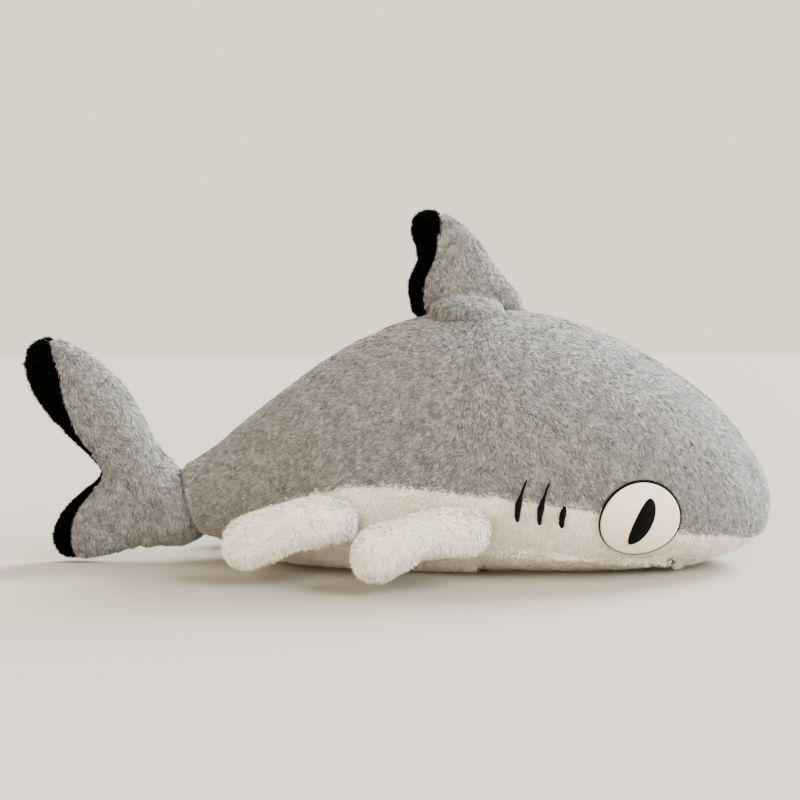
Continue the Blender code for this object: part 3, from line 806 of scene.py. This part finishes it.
def make_jaw():
    """The lower jaw: a thin padded flap, furry outside and lined inside."""
    skin = Skin(*cast(("jaw_panel", "jaw_stuffing", "jaw_lining"), FINE_VOXEL))
    skin.smooth(4)
    outside = distances(skin.points, ("jaw_panel",))
    inside = distances(skin.points, ("jaw_lining", "jaw_stuffing"))
    swell(skin, 1 - eased(np.abs(outside - inside), *JAW_SEAM), JAW_SWELLS)
    skin.smooth(2)
    furry = outside < inside
    skin.points = skin.points - skin.normals() * np.where(furry, WHITE_NAP.standing(), 0)[:, None]
    skin.lie_on_floor()
    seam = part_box("jaw_panel")[0].x + JAW_SEAM_X
    seat(skin, (seam, 0, 0), (-1, 0, 0), JAW_INTO, JAW_ROOT_WIDTH)
    on_jaw = rides("jaw")
    chosen = furry[skin.faces].mean(axis=1) > 0.5
    piece = part_of_skin("jaw_cloth", skin, chosen, cloth["white"], on_jaw)
    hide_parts("jaw_panel", "jaw_stuffing")
    piece = part_of_skin("jaw_inner_cloth", skin, ~chosen, cloth["white"], on_jaw)
    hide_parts("jaw_lining")

    def keep(roots, corners, shares):
        return mixed(furry.astype(float), corners, shares) > 0.5

    pile("jaw_pile", skin, WHITE_NAP, on_jaw, JAW_NAP, 14, keep)


# --- Fins --------------------------------------------------------------------------------------


FIN_SEAM = (0.001, 0.004)
FIN_SWELLS = 0.002


def make_fin(name, inside, colours, bending, combs, piles, seed, seating, spread=None, roll=None):
    """A stuffed fin: its cloth in one piece for each colour, and its pile.

    inside is its stuffing's node, and seating moves its root into the body.
    spread says how far the black cloth reaches over the grey one.
    """
    outer = [node for group in colours.values() for node in group]
    skin = Skin(*cast([*outer, inside], FINE_VOXEL, roll))
    skin.smooth(5)
    reach = {colour: distances(skin.points, group) for colour, group in colours.items()}
    if spread:
        reach["black"] = reach["black"] - spread(skin.points)
    names = list(colours)
    nearest = np.argmin(np.stack([reach[c] for c in names]), axis=0)
    gap = np.abs(reach[names[0]] - reach[names[-1]]) if len(names) > 1 else np.full(len(nearest), 1.0)
    swell(skin, 1 - eased(gap, *FIN_SEAM), FIN_SWELLS)
    skin.smooth(2)
    seating(skin)
    depth = np.array([kind.standing() for kind in piles])[nearest]
    for _ in range(3):
        depth = skin.averaged(depth)
    skin.points = skin.points - skin.normals() * depth[:, None]
    skin.lie_on_floor()
    for number, colour in enumerate(names):
        chosen = nearest[skin.faces].min(axis=1) == number
        label = f"{name}_{colour}_cloth"
        piece = part_of_skin(label, skin, chosen, cloth[colour], bending)
        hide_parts(*colours[colour])

        def keep(roots, corners, shares, colour=colour):
            mine = mixed(reach[colour], corners, shares)
            others = [mixed(reach[c], corners, shares) for c in names if c != colour]
            return np.all([mine < other for other in others], axis=0) if others else mine > -1

        pile(f"{name}_{colour}_pile", skin, piles[number], bending, combs[number], seed + number, keep)
    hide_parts(inside)


def bends(a, b, start, end):
    """What bakes a piece's transform into its mesh; a, b, start and end are not used."""
    return lambda piece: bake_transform(piece)


# The roll of cloth at the foot of the dorsal fin
ROLL_AT = (0.0605, 0, 0.2165)
ROLL_RADII = (0.038, 0.046, 0.0180)
PAST_ROLL = (0.027, 0.037)  # from its middle to its ends
BLACK_NAP = (-0.8, 0, -0.4)  # the way the black trims lie: off the edge of the fin
DORSAL_NAP = (0.45, 0, -0.9)
DORSAL_HINGE_X = 0.066
DORSAL_BENDS_OVER = 0.022
DORSAL_SWEEP = 0.015  # how far the foot of its front edge runs forward
DORSAL_SINKS = 0.014  # how far both ends of its root go down into the back
DORSAL_TRIM = 0.010  # how much wider the black is at the tip than low on the fin


def make_dorsal():
    """The fin on the back, with black along its rear edge and a roll of cloth round its foot."""
    low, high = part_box("dorsal_stuffing")
    base = low.z - 0.004
    nodes = {"grey": ("dorsal_panel_left", "dorsal_panel_right"), "black": ("dorsal_edge",)}
    start, end = (DORSAL_HINGE_X, 0, base), (DORSAL_HINGE_X, 0, base + DORSAL_BENDS_OVER)
    bending = bends("body", "dorsal_fin", start, end)
    roll = Matrix.LocRotScale(Vector(ROLL_AT), None, Vector(ROLL_RADII))
    piles = (GREY_NAP, BLACK_TUFTS)

    def seating(skin):
        """The front edge sweeps forward into the back, and both ends of the root go down into it."""
        low_share = (1 - eased(skin.points[:, 2], base - 0.004, base + 0.024)) ** 2
        front_share = eased(skin.points[:, 0], 0.085, 0.105)
        skin.points[:, 0] += DORSAL_SWEEP * low_share * front_share
        past_roll = eased(np.abs(skin.points[:, 0] - ROLL_AT[0]), *PAST_ROLL)
        near_back = 1 - eased(skin.points[:, 2], base + 0.004, base + 0.014)
        skin.points[:, 2] -= DORSAL_SINKS * past_roll * near_back

    def spread(points):
        """The black widens towards the tip. At the fin's foot only the rear edge is black."""
        far = DORSAL_TRIM * eased(points[:, 2], high.z - 0.035, high.z) - 0.0005
        off_edge = (points[:, 2] < low.z + 0.012) & (points[:, 0] > low.x + 0.014)
        return far - 0.01 * off_edge

    combs = (DORSAL_NAP, BLACK_NAP)
    make_fin("dorsal", "dorsal_stuffing", nodes, bending, combs, piles, 21, seating, spread, roll)


TAIL_SEAM_AT, TAIL_AXIS = (-0.204, 0, 0.060), (0.97, 0, -0.24)
TAIL_BENDS_FROM, TAIL_BENDS_TO = (-0.183, 0, 0.058), (-0.215, 0, 0.066)
TAIL_INTO = (0.0136, 0, -0.0034)
TAIL_ROOT_WIDTH, TAIL_FLARE = 0.012, 0.0035
TAIL_TRIM = 0.009  # how much wider the black is at the lobes' tips than at the notch
TAIL_FOLDS = (0.009, 0.019)  # how far behind the seam
TAIL_FOLD_WIDTH, TAIL_FOLD_DEPTH = 0.0028, 0.0013
TAIL_NOTCH = (-0.270, 0.085)  # X and Z of the notch between the tail's lobes


def make_tail():
    """The tail fin: two lobes with black along their rear edges."""
    nodes = {
        "grey": ("tail_panel_left", "tail_panel_right"),
        "black": ("tail_edge_upper", "tail_edge_lower"),
    }
    bending = bends("body", "tail_fin", TAIL_BENDS_FROM, TAIL_BENDS_TO)

    def comb(roots):
        """The pile lies forwards and down on the upper lobe, and almost straight down below it."""
        upper = eased(roots[:, 2], 0.06, 0.10)[:, None]
        return upper * np.array((0.6, 0, -0.8)) + (1 - upper) * np.array((0.25, 0, -0.95))

    def seating(skin):
        """Folds run round the root beside its seam, and the root moves into the body."""
        behind = (np.array(TAIL_SEAM_AT) - skin.points) @ TAIL_AXIS
        for place in TAIL_FOLDS:
            fold = np.exp(-(((behind - place) / TAIL_FOLD_WIDTH) ** 2))
            skin.points = skin.points - TAIL_FOLD_DEPTH * fold[:, None] * skin.normals()
        seat(skin, TAIL_SEAM_AT, TAIL_AXIS, TAIL_INTO, TAIL_ROOT_WIDTH, TAIL_FLARE)

    def spread(points):
        """The black widens from the notch to the lobes' tips."""
        from_notch = np.linalg.norm(points[:, [0, 2]] - TAIL_NOTCH, axis=1)
        return TAIL_TRIM * eased(from_notch, 0.02, 0.12) - 0.001

    combs = (comb, BLACK_NAP)
    piles = (GREY_NAP, BLACK_TUFTS)
    make_fin("tail", "tail_stuffing", nodes, bending, combs, piles, 31, seating, spread)


PAIRED_BENDS_OVER = 0.028
PAIRED_SEAM_X = 0.012  # behind the front of its stuffing
PAIRED_INTO = (0.0036, 0.0048)  # forwards, and towards the middle
PAIRED_ROOT_WIDTH = 0.010
PAIRED_NAP = (-0.7, 0, -0.7)


def make_paired(kind, word, side, seed):
    """A pectoral or a pelvic fin on one side."""
    low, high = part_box(f"{kind}_stuffing_{word}")
    root = (high.x, side * (abs(low.y) + abs(high.y)) / 2, (low.z + high.z) / 2)
    inner = (high.x - PAIRED_BENDS_OVER, root[1], root[2])
    nodes = {"white": (f"{kind}_outer_{word}", f"{kind}_inner_{word}")}
    bending = bends("body", f"{kind}_fin_{word}", root, inner)

    def seating(skin):
        """The root moves forwards and into the body."""
        place = (high.x - PAIRED_SEAM_X, root[1], root[2])
        into = (PAIRED_INTO[0], -side * PAIRED_INTO[1], 0)
        seat(skin, place, (0.6, -side * 0.8, 0), into, PAIRED_ROOT_WIDTH)

    name, inside = f"{kind}_{word}", f"{kind}_stuffing_{word}"
    make_fin(name, inside, nodes, bending, (PAIRED_NAP,), (WHITE_FLUFF,), seed, seating)


# --- Stage -------------------------------------------------------------------------------------


FLOOR_RADIUS, FLOOR_SIDES = 40.0, 96


def stage():
    """A wide plain floor under a warm sky."""
    floor = linked("floor", bpy.data.meshes.new("floor"))
    turns = [2 * math.pi * i / FLOOR_SIDES for i in range(FLOOR_SIDES)]
    rim = [(FLOOR_RADIUS * math.cos(turn), FLOOR_RADIUS * math.sin(turn), 0) for turn in turns]
    floor.data.from_pydata(rim, [], [range(FLOOR_SIDES)])
    material, _ = principled("floor", (0.284, 0.259, 0.216), 0.8)
    floor.data.materials.append(material)
    world = bpy.data.worlds.new("studio")
    world.use_nodes = True
    world.node_tree.nodes["Background"].inputs["Color"].default_value = (1.0, 0.87, 0.69, 1)
    world.node_tree.nodes["Background"].inputs["Strength"].default_value = 1.7
    bpy.context.scene.world = world


def sun(name, place, strength, angle, colour):
    """A broad far light that shines from this direction."""
    light = bpy.data.lights.new(name, "SUN")
    light.energy = strength
    light.angle = math.radians(angle)
    light.color = colour
    lamp = bpy.data.objects.new(name, light)
    lamp.rotation_euler = Vector(place).to_track_quat("Z", "Y").to_euler()
    bpy.context.scene.collection.objects.link(lamp)


def camera():
    """The camera, level but for its pitch, looking along +Y."""
    lens = bpy.data.cameras.new("camera")
    lens.lens = CAMERA_LENS
    lens.sensor_width = 36
    lens.shift_x = CAMERA_SHIFT
    lens.clip_start = 0.02
    shown = bpy.data.objects.new("camera", lens)
    shown.location = CAMERA_AT
    shown.rotation_euler = (math.pi / 2 - CAMERA_PITCH, 0, 0)
    bpy.context.scene.collection.objects.link(shown)
    bpy.context.scene.camera = shown


camera()
stage()
sun("key", (2.2, -1.0, 1.5), 9.0, 35, (0.95, 0.98, 1.0))
sun("rim", (1.5, 0.9, 1.3), 17.0, 25, (0.90, 0.96, 1.0))
sun("fill", (-1.2, -1.8, 0.7), 3.4, 40, (1.0, 0.86, 0.66))

make_body()
for word, side in SIDES:
    make_eye(word, Eye(f"eye_{word}"))
    make_gills(word, side)
make_jaw()
make_dorsal()
make_tail()
for number, (word, side) in enumerate(SIDES):
    make_paired("pectoral", word, side, 41 + 10 * number)
    make_paired("pelvic", word, side, 61 + 10 * number)
